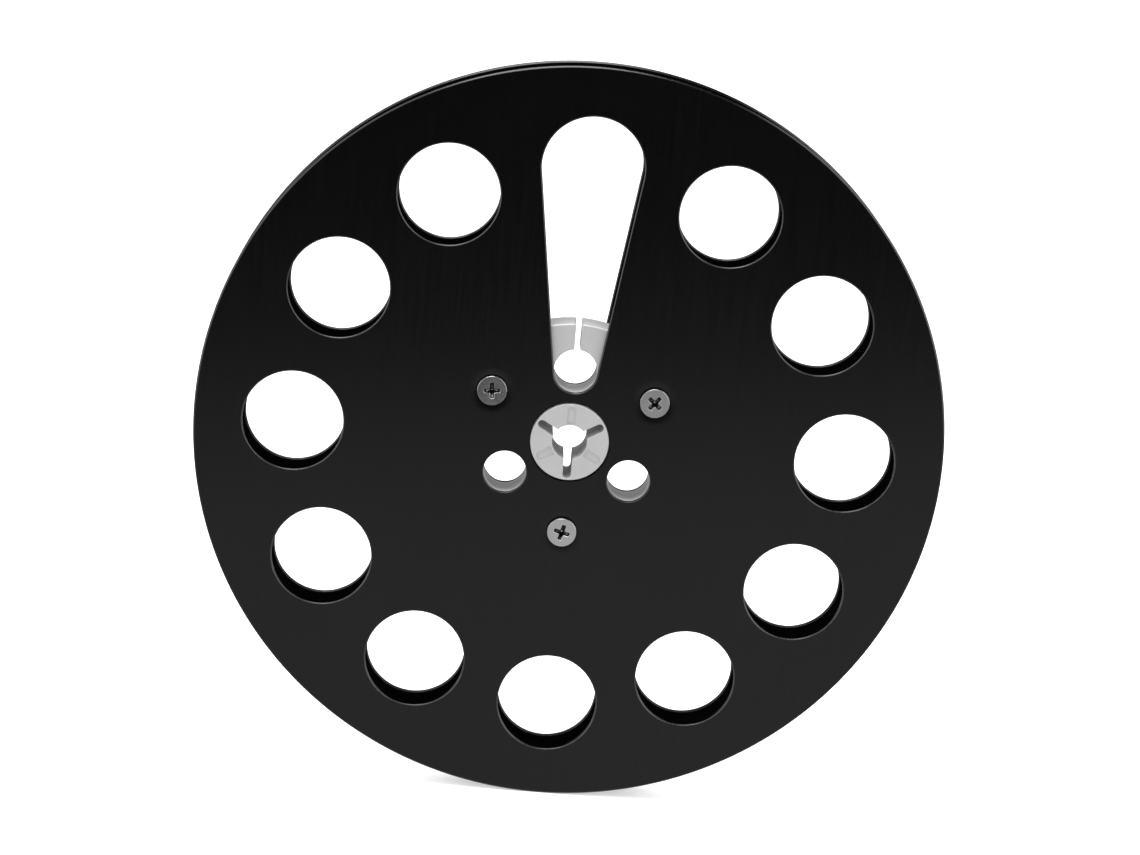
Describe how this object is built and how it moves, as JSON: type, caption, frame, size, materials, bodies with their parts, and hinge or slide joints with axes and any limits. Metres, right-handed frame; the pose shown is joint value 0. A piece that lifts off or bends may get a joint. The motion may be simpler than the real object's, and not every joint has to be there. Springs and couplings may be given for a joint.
{
  "type": "open tape reel",
  "caption": "Seven-inch metal open tape reel: two pierced black flanges clamped to a bare aluminium hub with a slotted spindle bore.",
  "frame": {"origin": "on the spin axis, half-way between the two flanges, which is the centre of the box", "axes": "+Y is the spin axis and points to the rear of the reel as it stands, so the front faces -Y; +Z points from the hub to the keyhole, up; +X is to the right seen from the front"},
  "size_m": [0.1778, 0.0122, 0.1778],
  "materials": {
    "black_flange": "black anodised over fine straight brushing, satin",
    "bare_hub": "fine turned and bead-dulled, clear anodised, satin",
    "screw": "dark nickel plated, satin"
  },
  "bodies": {
    "root": {"front_flange": "black_flange", "rear_flange": "black_flange", "hub": "bare_hub", "front_screw_left": "screw", "front_screw_right": "screw", "front_screw_bottom": "screw", "rear_screw_left": "screw", "rear_screw_right": "screw", "rear_screw_bottom": "screw"}
  },
  "joints": []
}
